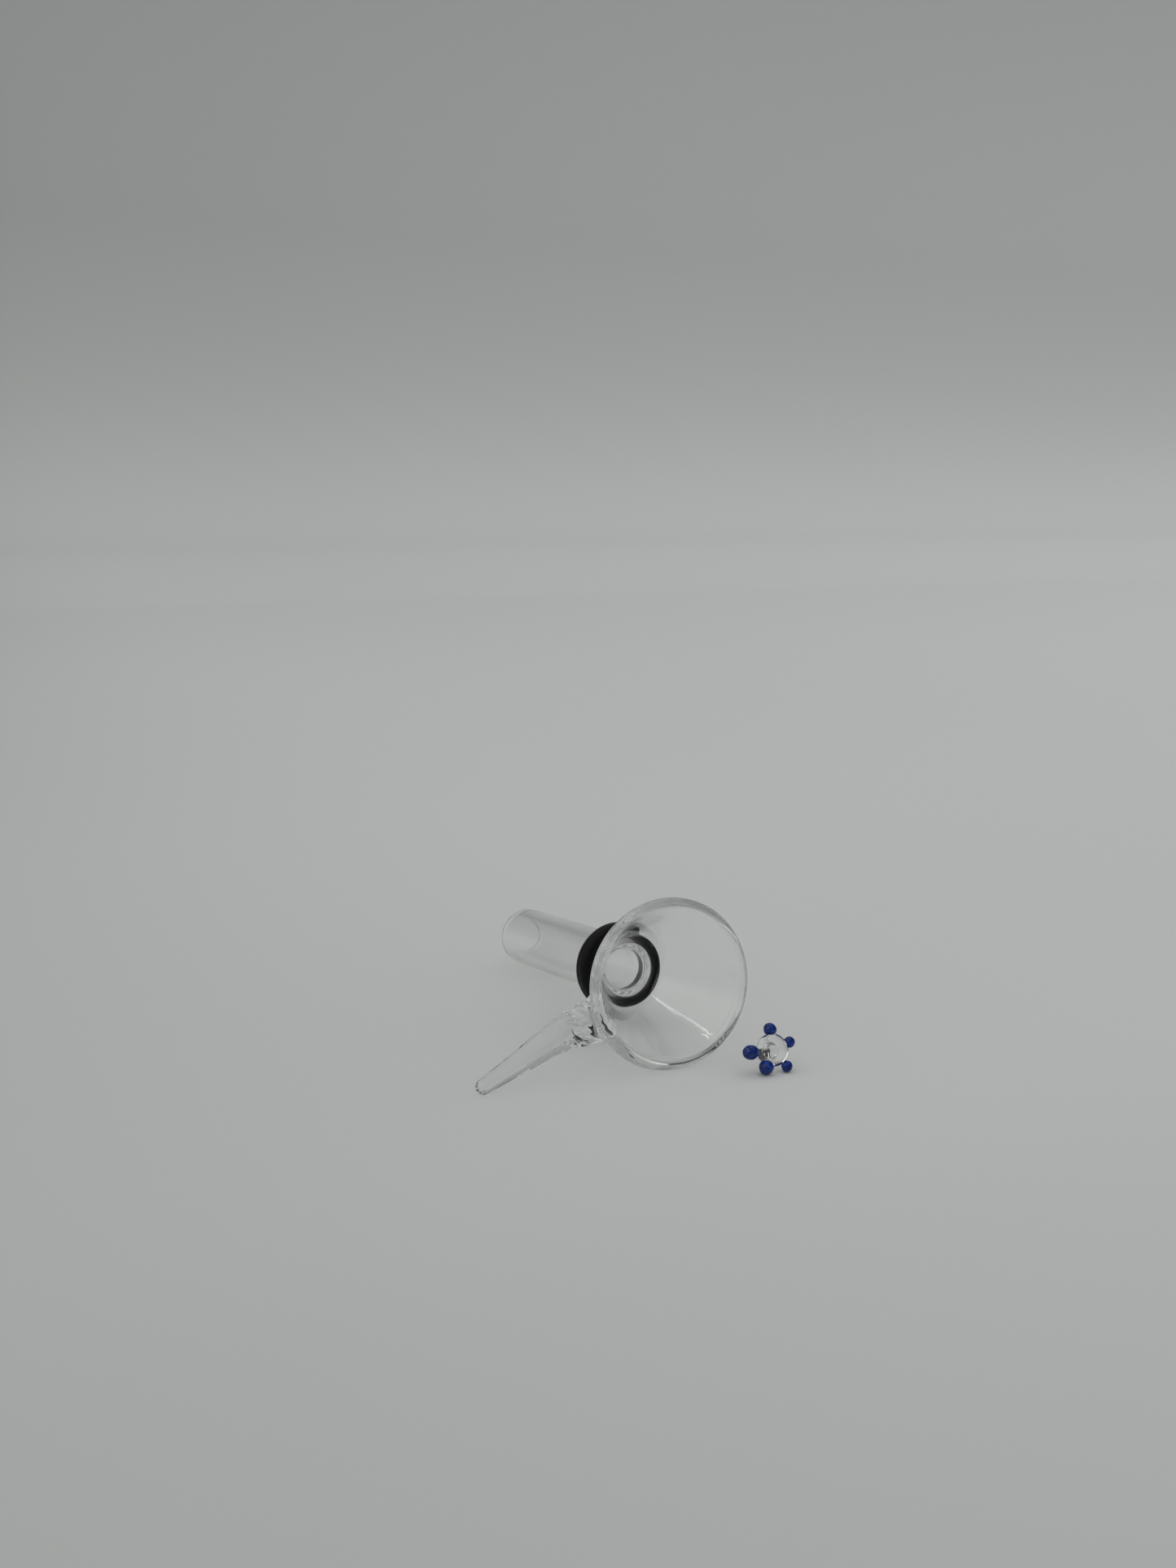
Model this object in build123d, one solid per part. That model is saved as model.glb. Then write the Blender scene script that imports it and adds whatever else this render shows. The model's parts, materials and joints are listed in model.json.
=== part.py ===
from build123d import *
import math
import os

# A lampworked glass funnel slide lying on a table, with a rubber grommet on its stem and a
# loose glass flower screen beside its mouth. Millimetres and degrees; +Z is up, the table
# is Z = 0, the mouth faces -Y and the handle leaves towards -X.
# The funnel is drawn in its own frame first: its axis is local Z, the mouth plane is at
# Z = 0 and the stem ends at Z = overall_length.

# Funnel
mouth_diameter = 31.4
funnel_depth = 21.0
cone_wall = 1.9
lip_bulge = 0.1
lip_blend = 2.0

# Stem and the seal that joins it to the cone
overall_length = 74.0
stem_diameter = 12.0
stem_wall = 2.0
stem_end_round = 0.9
throat_blend = 1.2
neck_blend = 3.0
neck_seal_before = 3.5
seat_swell = 0.16
seat_beyond_grommet = 0.5
seat_taper = 1.2

# Handle: a pad welded square to the cone's outside, then a horn drawn out to a round tip.
# Each section is a fraction along its own piece and the thickness there, and the weld's
# depth is how far the pad is drawn into the cone's wall before it is cut.
handle_seat = 4.0
pad_height = 4.6
weld_depth = 1.805
pad_sections = ((0.0, 8.6, 6.9), (0.45, 7.9, 6.7), (0.75, 7.4, 6.7))
knee_diameter = 6.9
horn_reach = 20.0
horn_sweep = 3.0
horn_bow = 0.5
horn_bow_along = 0.15
horn_widths = ((0.2, 6.0), (0.45, 5.1), (0.7, 3.9), (0.9, 3.15))
tip_diameter = 2.9

# Grommet: each wall is the rubber's thickness there, outside its bore.
grommet_clearance = 0.04
grommet_gap = 0.15
grommet_length = 3.95
shoulder_wall = 2.5
shoulder_width = 3.0
shoulder_round = 1.25
rear_wall = 1.6
rear_round = 0.4
bore_round = 0.15

# Flower screen. Each bead is its angle clockwise from the top as seen from the front, its
# width, its length along the spoke and how deep it is sunk into the hub's rim.
hub_diameter = 6.0
hub_thickness = 3.2
hub_round = 1.5
dimple_diameter = 2.4
dimple_depth = 0.35
peg_diameter = 2.3
peg_length = 6.4
beads = (
    (3.0, 2.44, 2.44, 0.50),
    (74.0, 2.04, 2.04, 0.20),
    (143.0, 2.12, 2.12, 0.12),
    (211.0, 2.76, 2.76, 1.00),
    (271.0, 2.68, 3.10, 0.20),
)
standing_beads = (2, 3)
stance_rounds = 40
screen_beside_rim = 0.3
screen_before_mouth = 8.5

# Worked out from the sizes above
mouth_radius = mouth_diameter / 2
stem_radius = stem_diameter / 2
seat_radius = stem_radius + seat_swell
bore_radius = stem_radius - stem_wall
grommet_bore_radius = seat_radius + grommet_clearance
lip_radius = cone_wall / 2 + lip_bulge
tip_radius = tip_diameter / 2
peg_radius = peg_diameter / 2
hub_radius = hub_diameter / 2

# The wall's middle line starts at the lip's centre and passes half a wall outside the
# corner where the cone's inside meets the bore.
lip_centre = (mouth_radius - lip_radius, lip_radius)
throat_corner = (bore_radius, funnel_depth)
inward_run = lip_centre[0] - throat_corner[0]
depth_run = throat_corner[1] - lip_centre[1]
cone_angle = math.atan2(inward_run, depth_run) - math.asin(
    cone_wall / 2 / math.hypot(inward_run, depth_run)
)
wall_normal = (math.cos(cone_angle), math.sin(cone_angle))


def cone_outer_radius(station):
    """Radius of the cone's outside at a distance behind the mouth plane."""
    middle = lip_centre[0] - (station - lip_centre[1]) * math.tan(cone_angle)
    return middle + cone_wall / 2 / math.cos(cone_angle)


# Stations along the axis: the cone's outside runs down to the grommet's seat, which is
# worked a little fuller than the tube, and tapers to the tube behind the grommet. The
# grommet is pushed up to where the cone's flare would stop its bore.
lip_outer_radius = cone_outer_radius(lip_centre[1])
outer_corner_station = lip_centre[1] + (lip_outer_radius - seat_radius) / math.tan(cone_angle)
neck_blend_end = outer_corner_station + neck_blend * math.tan(cone_angle / 2)
neck_seal_start = outer_corner_station - neck_seal_before
flare_contact = neck_blend_end - math.sqrt(
    neck_blend**2 - (neck_blend - grommet_clearance) ** 2
)
grommet_front = flare_contact + grommet_gap
seat_end = grommet_front + grommet_length + seat_beyond_grommet
neck_seal_end = seat_end + seat_taper

# The slide rests on the lip and on the rim of the stem's end, so it tips forward.
end_corner = (stem_radius - stem_end_round, overall_length - stem_end_round)
rest_run = end_corner[1] - lip_centre[1]
rest_drop = lip_centre[0] - end_corner[0]
rest_tilt = math.atan2(rest_drop, rest_run) + math.asin(
    (lip_radius - stem_end_round) / math.hypot(rest_run, rest_drop)
)
mouth_height = (
    lip_centre[0] * math.cos(rest_tilt) + lip_radius + lip_centre[1] * math.sin(rest_tilt)
)

# Handle stations in its own plane: distance from the funnel's axis, then station along it.
pad_root = (cone_outer_radius(handle_seat), handle_seat)
knee = (
    pad_root[0] + pad_height * wall_normal[0],
    pad_root[1] + pad_height * wall_normal[1],
)
horn_tip = (knee[0] + horn_reach, knee[1] - horn_sweep)

# The handle turns about the funnel's axis until its round tip touches the table.
tip_height_on_axis = mouth_height - horn_tip[1] * math.sin(rest_tilt)
handle_droop = math.asin((tip_height_on_axis - tip_radius) / (horn_tip[0] * math.cos(rest_tilt)))


def nearest_vertex(shape, *point):
    """The shape's corner that lies closest to a point."""
    return shape.vertices().sort_by_distance(point)[0]


def slide_blank():
    """Cone, neck and stem as one turned solid, to be cut at the stations of its gathers."""
    half_wall = cone_wall / 2
    inner_lip = (
        lip_centre[0] - half_wall * wall_normal[0],
        lip_centre[1] - half_wall * wall_normal[1],
    )
    outer_lip = (
        lip_centre[0] + half_wall * wall_normal[0],
        lip_centre[1] + half_wall * wall_normal[1],
    )
    outer_corner = (seat_radius, outer_corner_station)
    seat_corner = (seat_radius, seat_end)
    taper_corner = (stem_radius, neck_seal_end)
    inner_end = (bore_radius, overall_length)
    outer_end = (stem_radius, overall_length)
    inside = (inner_lip, throat_corner, inner_end)
    outside = (outer_end, taper_corner, seat_corner, outer_corner, outer_lip)
    wall = make_face(Polyline(*inside, *outside, close=True))
    profile = wall + Pos(*lip_centre) * Circle(lip_radius)
    profile = fillet(nearest_vertex(profile, *throat_corner), throat_blend)
    profile = fillet(nearest_vertex(profile, *outer_corner), neck_blend)
    profile = fillet(nearest_vertex(profile, *outer_end), stem_end_round)
    profile = fillet(nearest_vertex(profile, *inner_end), stem_end_round)
    lip_foot = math.sqrt(lip_radius**2 - half_wall**2)
    for side in (-1, 1):
        foot = (
            lip_centre[0] + side * half_wall * wall_normal[0] - lip_foot * wall_normal[1],
            lip_centre[1] + side * half_wall * wall_normal[1] + lip_foot * wall_normal[0],
        )
        profile = fillet(nearest_vertex(profile, *foot), lip_blend)
    return revolve(Plane.XZ * profile, Axis.Z)


def gather(blank, start, end):
    """The part of the turned blank between two stations."""
    piece = blank
    if start is not None:
        piece = split(piece, Plane.XY.offset(start), keep=Keep.TOP)
    if end is not None:
        piece = split(piece, Plane.XY.offset(end), keep=Keep.BOTTOM)
    return piece


def cone_hollow():
    """The space inside the cone, filled out into its wall and lip, which the handle stays out of."""
    corners = ((0, 0), (lip_centre[0], 0), lip_centre, throat_corner, (0, funnel_depth))
    return revolve(Plane.XZ * make_face(Polyline(*corners, close=True)), Axis.Z)


def in_handle_plane(point):
    """A point of the handle's plane, as a 3-D point with the handle along local X."""
    return Vector(point[0], 0, point[1])


def oval(origin, direction, width, depth):
    """An oval section square to the handle, its width across the handle's plane."""
    plane = Plane(origin, x_dir=(0, 1, 0), z_dir=direction)
    return plane * Ellipse(width / 2, depth / 2)


def turn_handle(piece):
    """Turn a piece drawn along local X to the handle's place round the funnel's axis."""
    return Rot(0, 0, 180 - math.degrees(handle_droop)) * piece


def handle_pad(blank):
    """The thick gather, square to the cone's wall, cut to the wall it is welded to."""
    direction = in_handle_plane(wall_normal)
    root = in_handle_plane(pad_root) - direction * weld_depth
    height = pad_height + weld_depth
    sections = [
        oval(root + direction * (height * along), direction, width, depth)
        for along, width, depth in pad_sections
    ]
    sections.append(oval(in_handle_plane(knee), direction, knee_diameter, knee_diameter))
    return turn_handle(loft(sections)) - blank - cone_hollow()


def handle_horn():
    """The horn: round sections along a bowed line, closed by a round tip."""
    start = in_handle_plane(knee)
    tip = in_handle_plane(horn_tip)
    bow = start + (tip - start) * horn_bow_along + Vector(0, 0, horn_bow)
    path = Spline(start, bow, tip, tangents=(in_handle_plane(wall_normal), tip - bow))
    sections = [oval(start, in_handle_plane(wall_normal), knee_diameter, knee_diameter)]
    for along, width in horn_widths:
        sections.append(oval(path @ along, path % along, width, width))
    sections.append(oval(tip, path % 1, tip_diameter, tip_diameter))
    horn = loft(sections) + Pos(*tip) * Sphere(tip_radius)
    return turn_handle(horn)


def grommet():
    """Moulded rubber ring: a rounded shoulder towards the cone, tapering to its rear face."""
    bore_front = (grommet_bore_radius, 0)
    bore_rear = (grommet_bore_radius, grommet_length)
    shoulder_front = (grommet_bore_radius + shoulder_wall, 0)
    shoulder_back = (grommet_bore_radius + shoulder_wall, shoulder_width)
    rear = (grommet_bore_radius + rear_wall, grommet_length)
    outline = (bore_front, shoulder_front, shoulder_back, rear, bore_rear)
    profile = make_face(Polyline(*outline, close=True))
    for corner, radius in (
        (shoulder_front, shoulder_round),
        (shoulder_back, rear_round),
        (rear, rear_round),
        (bore_front, bore_round),
        (bore_rear, bore_round),
    ):
        profile = fillet(nearest_vertex(profile, *corner), radius)
    return Pos(0, 0, grommet_front) * revolve(Plane.XZ * profile, Axis.Z)


def bead_reach(bead):
    """Distance from the hub's centre to a bead's centre."""
    angle, width, length, sink = bead
    return hub_radius + length / 2 - sink


def screen_stance():
    """Lean, roll and hub height at which two beads and the peg's end touch the table."""
    first, second = (beads[index] for index in standing_beads)
    reach = (bead_reach(first), bead_reach(second))
    angle = (math.radians(first[0]), math.radians(second[0]))
    across = reach[0] * math.cos(angle[0]) - reach[1] * math.cos(angle[1])
    along = reach[0] * math.sin(angle[0]) - reach[1] * math.sin(angle[1])
    peg_end = hub_thickness / 2 + peg_length - peg_radius
    lean = 0.0
    for _ in range(stance_rounds):
        difference = (first[1] - second[1]) / 2 / math.cos(lean)
        swing = math.acos(difference / math.hypot(across, along))
        offset = math.atan2(along, across)
        roll = min((swing - offset, -swing - offset), key=abs)
        height = first[1] / 2 - reach[0] * math.cos(angle[0] + roll) * math.cos(lean)
        lean = math.asin((height - peg_radius) / peg_end)
    return lean, roll, height


def screen_hub():
    """Clear round body of the flower, with a dimple in its front face."""
    half = hub_thickness / 2
    body = Cylinder(hub_radius, hub_thickness)
    body = fillet(body.edges().filter_by(GeomType.CIRCLE), hub_round)
    dimple_radius = ((dimple_diameter / 2) ** 2 + dimple_depth**2) / (2 * dimple_depth)
    return body - Pos(0, 0, -half + dimple_depth - dimple_radius) * Sphere(dimple_radius)


def screen_peg():
    """Clear peg behind the hub, with a round end."""
    straight = peg_length - peg_radius
    shank = Pos(0, 0, hub_thickness / 2 + straight / 2) * Cylinder(peg_radius, straight)
    return shank + Pos(0, 0, hub_thickness / 2 + straight) * Sphere(peg_radius)


def screen_bead(bead, hub):
    """One blue dot: a round or oval gather pressed into the hub's rim."""
    angle, width, length, sink = bead
    outline = Ellipse(length / 2, width / 2) & Pos(0, width / 2) * Rectangle(length, width)
    drop = revolve(outline, Axis.X)
    return Rot(0, 0, angle - 90) * Pos(bead_reach(bead), 0, 0) * drop - hub


def slide_place():
    """Where the funnel's own frame lies, with the mouth's centre above the origin."""
    axis = (0, math.cos(rest_tilt), -math.sin(rest_tilt))
    return Plane((0, 0, mouth_height), x_dir=(1, 0, 0), z_dir=axis).location


def screen_place():
    """Where the flower's own frame stands, leaning back on its peg."""
    lean, roll, height = screen_stance()
    back = (0, math.cos(lean), -math.sin(lean))
    spot = (mouth_radius + screen_beside_rim, -screen_before_mouth, height)
    stand = Plane(spot, x_dir=(1, 0, 0), z_dir=back)
    return stand.location * Rot(0, 0, math.degrees(roll))


def build_nodes():
    """Every node by name, in one frame, with the mouth's centre above the origin."""
    blank = slide_blank()
    slide_nodes = {
        "funnel_cone": gather(blank, None, neck_seal_start),
        "neck_seal": gather(blank, neck_seal_start, neck_seal_end),
        "stem_tube": gather(blank, neck_seal_end, None),
        "handle_pad": handle_pad(blank),
        "handle_horn": handle_horn(),
        "grommet": grommet(),
    }
    hub = screen_hub()
    screen_nodes = {"screen_hub": hub, "screen_peg": screen_peg()}
    for number, bead in enumerate(beads, start=1):
        screen_nodes[f"screen_bead_{number}"] = screen_bead(bead, hub)
    slide = slide_place()
    screen = screen_place()
    placed = {name: slide * piece for name, piece in slide_nodes.items()}
    placed.update({name: screen * piece for name, piece in screen_nodes.items()})
    return placed


def main():
    """Build the nodes, centre them over the origin and write one STEP file for each."""
    os.makedirs("parts", exist_ok=True)
    nodes = build_nodes()
    box = Compound(list(nodes.values())).bounding_box()
    shift = Pos(-box.center().X, -box.center().Y, 0)
    for name, piece in nodes.items():
        export_step(shift * piece, f"parts/{name}.step")
    lean, roll, height = screen_stance()
    print("cone half angle", round(math.degrees(cone_angle), 3))
    print("rest tilt", round(math.degrees(rest_tilt), 3), "mouth height", round(mouth_height, 3))
    print("handle droop", round(math.degrees(handle_droop), 3), "knee", knee, "tip", horn_tip)
    print("grommet from", round(grommet_front, 3), "to", round(grommet_front + grommet_length, 3))
    print("neck seal from", round(neck_seal_start, 3), "to", round(neck_seal_end, 3))
    print("screen lean", math.degrees(lean), "roll", math.degrees(roll), "hub height", height)
    print("shift", shift.position, "box", box.size, "lowest", box.min.Z)


main()
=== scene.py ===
import json
import logging
from collections.abc import Callable, Sequence
from dataclasses import dataclass, field
from enum import Enum
from math import asin, atan2, ceil, cos, degrees, exp, hypot, pi, radians, sin, sqrt, tan, tau

import bmesh
import bpy
from mathutils import Matrix, Vector, noise


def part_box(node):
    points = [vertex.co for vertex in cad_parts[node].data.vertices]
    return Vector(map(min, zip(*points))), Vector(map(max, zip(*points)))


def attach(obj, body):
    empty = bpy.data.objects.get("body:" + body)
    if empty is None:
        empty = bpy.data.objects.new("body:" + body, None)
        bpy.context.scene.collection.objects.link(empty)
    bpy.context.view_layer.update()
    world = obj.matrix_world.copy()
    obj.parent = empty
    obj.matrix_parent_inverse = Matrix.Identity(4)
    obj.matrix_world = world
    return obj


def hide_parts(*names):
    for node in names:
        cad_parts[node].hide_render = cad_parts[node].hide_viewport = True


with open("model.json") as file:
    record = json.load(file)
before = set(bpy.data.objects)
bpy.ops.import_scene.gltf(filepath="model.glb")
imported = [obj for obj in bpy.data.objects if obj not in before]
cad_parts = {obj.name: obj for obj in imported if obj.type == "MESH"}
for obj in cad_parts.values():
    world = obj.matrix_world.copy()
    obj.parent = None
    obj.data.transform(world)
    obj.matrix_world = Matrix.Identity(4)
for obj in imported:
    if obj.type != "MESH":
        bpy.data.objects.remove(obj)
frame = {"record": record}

# A lampworked glass funnel slide lying on a table, with a rubber grommet on its stem and a
# loose glass flower screen. Sizes are in millimetres until a mesh is made, and lengths of
# the studio are in metres.

MM = 0.001
LIGHT_BOUNCES = 96

# The name, usual scale and detail of each noise in the shared surface group.
SURFACE_CLOUDS = (("Wave", 150.0, 1.0), ("Mottle", 900.0, 4.0))

log = logging.getLogger("funnel_slide")


class Body(Enum):
    """The moving bodies that pieces ride on."""

    SLIDE = "slide"
    GROMMET = "grommet"
    FLOWER = "flower_screen"


class Slot(Enum):
    """The record's material slots."""

    CLEAR = "clear_glass"
    RUBBER = "black_rubber"
    BLUE = "blue_glass"


# Short names for the types that are used most. An Uneven gives a radial error at a radius,
# an angle and a station.

Pair = tuple[float, float]
Spot = tuple[float, float, float]
Colour = tuple[float, float, float, float]
Uneven = Callable[[float, float, float], float]
Piece = bpy.types.Object
Finish = bpy.types.Material
Finishes = dict[Slot, Finish]
Node = bpy.types.Node
Socket = bpy.types.NodeSocket
Source = Socket | float | Colour


# ---------------- shapes


def arc(centre: Pair, radius: float, start: float, end: float, steps: int = 8) -> list[Pair]:
    """Points along an arc from one angle in radians to another, both ends included."""
    angles = [start + (end - start) * step / steps for step in range(steps + 1)]
    return [(centre[0] + radius * cos(a), centre[1] + radius * sin(a)) for a in angles]


def rounded_corner(before: Pair, corner: Pair, after: Pair, radius: float) -> list[Pair]:
    """The arc that rounds a corner between two straight runs.

    Args:
        before: A point on the run that comes in.
        corner: The sharp corner.
        after: A point on the run that leaves.
        radius: The round's radius.

    Returns:
        The arc's points, in order.
    """
    tip = Vector(corner)
    back = (Vector(before) - tip).normalized()
    ahead = (Vector(after) - tip).normalized()
    half = back.angle(ahead) / 2
    centre = tip + (back + ahead).normalized() * (radius / sin(half))
    reach = radius / tan(half)
    first = tip + back * reach - centre
    last = tip + ahead * reach - centre
    start = atan2(first.y, first.x)
    return arc((centre.x, centre.y), radius, start, start - first.angle_signed(last))


def spread(points: Sequence[Pair], step: float, looped: bool) -> list[Pair]:
    """Divide the long runs of an outline.

    Args:
        points: The outline.
        step: The longest run that is left whole.
        looped: Whether the last point joins the first.

    Returns:
        The outline with points added on its long runs.
    """
    result: list[Pair] = []
    ends = list(points[1:]) + ([points[0]] if looped else [])
    for (x0, y0), (x1, y1) in zip(points, ends):
        count = max(1, ceil(hypot(x1 - x0, y1 - y0) / step))
        result.extend((x0 + (x1 - x0) * i / count, y0 + (y1 - y0) * i / count) for i in range(count))
    if not looped:
        result.append(points[-1])
    return result


def interpolated(table: Sequence[Pair], value: float) -> float:
    """The height at a value of the line through a table's points.

    Args:
        table: The points, from the lowest value up.
        value: Where the height is wanted.

    Returns:
        The height, which past the table's end is the last one.
    """
    for (x0, y0), (x1, y1) in zip(table, table[1:]):
        if value <= x1:
            return y0 + (y1 - y0) * ((value - x0) / (x1 - x0))
    return table[-1][1]


def faded(value: float, start: float, end: float) -> float:
    """A smooth fall from 1 at the start to 0 at the end."""
    share = min(1.0, max(0.0, (value - start) / (end - start)))
    return 1 - share * share * (3 - 2 * share)


def linked(name: str, data: bpy.types.ID) -> Piece:
    """Put a mesh, a lamp or a camera in the scene.

    Args:
        name: The object's name.
        data: What it shows.

    Returns:
        The object.
    """
    thing = bpy.data.objects.new(name, data)
    bpy.context.scene.collection.objects.link(thing)
    return thing


def skin(name: str, rings: Sequence[Sequence[Vector]], looped: bool) -> Piece:
    """Join rings of points into one closed, smooth surface, with its faces outwards.

    Args:
        name: The new object's name.
        rings: Rings with as many points each, in millimetres.
        looped: Whether the last ring joins the first. If not, both ends close on a pole.

    Returns:
        The object, in metres.
    """
    count = len(rings[0])
    points = [point * MM for ring in rings for point in ring]
    faces: list[tuple[int, ...]] = []
    for i in range(len(rings) if looped else len(rings) - 1):
        here, there = i * count, (i + 1) % len(rings) * count
        for j in range(count):
            k = (j + 1) % count
            faces.append((here + j, here + k, there + k, there + j))
    if not looped:
        for first in (0, (len(rings) - 1) * count):
            points.append(sum(points[first : first + count], Vector()) / count)
            pole = len(points) - 1
            faces.extend((first + j, first + (j + 1) % count, pole) for j in range(count))
    mesh = bpy.data.meshes.new(name)
    mesh.from_pydata(points, [], faces)
    work = bmesh.new()
    work.from_mesh(mesh)
    bmesh.ops.recalc_face_normals(work, faces=work.faces)
    work.to_mesh(mesh)
    work.free()
    mesh.polygons.foreach_set("use_smooth", [True] * len(mesh.polygons))
    return linked(name, mesh)


def united(base: Piece, tool: Piece) -> Piece:
    """Melt one closed object into another.

    Args:
        base: The object that keeps its name.
        tool: The object that is joined on, and then removed.

    Returns:
        The base, with one skin round both.
    """
    weld = base.modifiers.new("weld", "BOOLEAN")
    weld.operation = "UNION"
    weld.solver = "EXACT"
    weld.object = tool
    graph = bpy.context.evaluated_depsgraph_get()
    mesh = bpy.data.meshes.new_from_object(base.evaluated_get(graph))
    base.modifiers.clear()
    base.data = mesh
    mesh.polygons.foreach_set("use_smooth", [True] * len(mesh.polygons))
    bpy.data.objects.remove(tool)
    return base


@dataclass(frozen=True)
class Axis:
    """A place and three directions to draw a turned shape in."""

    origin: Vector
    across: Vector
    down: Vector
    along: Vector

    def point(self, radius: float, angle: float, station: float) -> Vector:
        """A point at a radius, an angle from across towards down, and a station along."""
        spoke = self.across * cos(angle) + self.down * sin(angle)
        return self.origin + spoke * radius + self.along * station

    def turned(self, outline: Sequence[Pair], segments: int, uneven: Uneven) -> list[list[Vector]]:
        """A ring for each (radius, station) of an outline, with an error added to the radius."""
        angles = [tau * step / segments for step in range(segments)]
        return [[self.point(r + uneven(r, a, s), a, s) for a in angles] for r, s in outline]

    def ripple(self, depth: float, scale: float) -> Uneven:
        """An all-over error of a given depth and wave size, by radius, angle and station."""
        return lambda radius, angle, s: depth * noise.noise(self.point(radius, angle, s) / scale)


def funnel_axis() -> Axis:
    """The funnel's axis, as the record's mount gives it.

    Returns:
        The axis from the mouth to the stem's end, in millimetres.
    """
    mouth = next(m for m in frame["record"]["mounts"] if m["name"] == "funnel_mouth")
    along = -Vector(mouth["axis"]).normalized()
    across = Vector((1, 0, 0))
    return Axis(Vector(mouth["pos_m"]) / MM, across, along.cross(across), along)


def middle(node: str) -> Vector:
    """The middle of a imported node's box, in millimetres."""
    low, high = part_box(node)
    return (low + high) / 2 / MM


# ---------------- finishes


@dataclass(frozen=True)
class Nodes:
    """Short ways to add and join the nodes of a tree."""

    tree: bpy.types.NodeTree

    def feed(self, socket: Socket, source: Source) -> None:
        """Link a socket to another one, or give it a plain value.

        Args:
            socket: The input.
            source: What it gets.
        """
        if isinstance(source, Socket):
            self.tree.links.new(source, socket)
        else:
            socket.default_value = source

    def fill(self, node: Node, **named: Source) -> None:
        """Feed a node's inputs by name, with underscores for spaces."""
        for name, source in named.items():
            self.feed(node.inputs[name.replace("_", " ")], source)

    def add(self, kind: str, *sources: Source, **named: Source) -> Node:
        """A new shader node.

        Args:
            kind: Its type, without the prefix that all of them have.
            sources: What its first inputs get, in order.
            named: What other inputs get, by name.

        Returns:
            The node.
        """
        made = self.tree.nodes.new(f"ShaderNode{kind}")
        for socket, source in zip(made.inputs, sources):
            self.feed(socket, source)
        self.fill(made, **named)
        return made

    def math(self, operation: str, first: Source, second: Source) -> Socket:
        """A math node over two values.

        Args:
            operation: What the node works out.
            first: Its first value.
            second: Its second value.

        Returns:
            The node's result.
        """
        made = self.add("Math", first, second)
        made.operation = operation
        return made.outputs[0]

    def ranged(
        self, value: Socket, before: Pair, after: Pair = (0.0, 1.0), kind: str = "LINEAR"
    ) -> Socket:
        """A value taken from one range to another, and held inside it.

        Args:
            value: What changes.
            before: The range it comes from.
            after: The range it is taken to.
            kind: How it runs between the limits.

        Returns:
            The new value.
        """
        made = self.add("MapRange", value, *before, *after)
        made.interpolation_type = kind
        return made.outputs["Result"]

    def step(self, value: Socket, start: float, end: float) -> Socket:
        """A smooth step from 0 at the start to 1 at the end, which may lie on either side of it."""
        limits = (0.0, 1.0) if start < end else (1.0, 0.0)
        return self.ranged(value, (min(start, end), max(start, end)), limits, "SMOOTHSTEP")

    def shades(self, value: Socket, stops: Sequence[Pair]) -> Socket:
        """A smooth curve of grey shades over a value.

        Args:
            value: What the shades change along.
            stops: The value and the shade at each stop.

        Returns:
            The shade as a colour.
        """
        low, high = stops[0][0], stops[-1][0]
        made = self.add("ValToRGB", self.ranged(value, (low, high)))
        ramp = made.color_ramp
        ramp.interpolation = "B_SPLINE"
        for number, (at, shade) in enumerate(stops):
            share = (at - low) / (high - low)
            stop = ramp.elements[number] if number < 2 else ramp.elements.new(share)
            stop.position = share
            stop.color = (shade, shade, shade, 1.0)
        return made.outputs["Color"]

    def mixed(self, share: Source, first: Source, second: Source, kind: str = "MIX") -> Socket:
        """Two colours mixed.

        Args:
            share: How much of the second shows.
            first: The lower colour.
            second: The upper colour.
            kind: The blend type.

        Returns:
            The mixed colour.
        """
        made = self.add("Mix")
        made.data_type = "RGBA"
        made.blend_type = kind
        colours = [socket for socket in made.inputs if socket.type == "RGBA"]
        for socket, source in zip((made.inputs["Factor"], *colours), (share, first, second)):
            self.feed(socket, source)
        return next(socket for socket in made.outputs if socket.type == "RGBA")


def hand_made_surface() -> bpy.types.NodeTree:
    """Slow waves and a fine mottle over a surface, shared by every finish.

    Returns:
        The shader node group.
    """
    group = bpy.data.node_groups.new("hand_made_surface", "ShaderNodeTree")
    desk = Nodes(group)
    given = group.nodes.new("NodeGroupInput")
    made = group.nodes.new("NodeGroupOutput")
    place = desk.add("TexCoord").outputs["Object"]
    for name, usual_scale, detail in SURFACE_CLOUDS:
        scale = f"{name} Scale"
        knob = group.interface.new_socket(scale, in_out="INPUT", socket_type="NodeSocketFloat")
        knob.default_value = usual_scale
        group.interface.new_socket(name, in_out="OUTPUT", socket_type="NodeSocketFloat")
        cloud = desk.add("TexNoise", Vector=place, Scale=given.outputs[scale], Detail=detail)
        desk.feed(made.inputs[name], cloud.outputs["Fac"])
    return group


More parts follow.
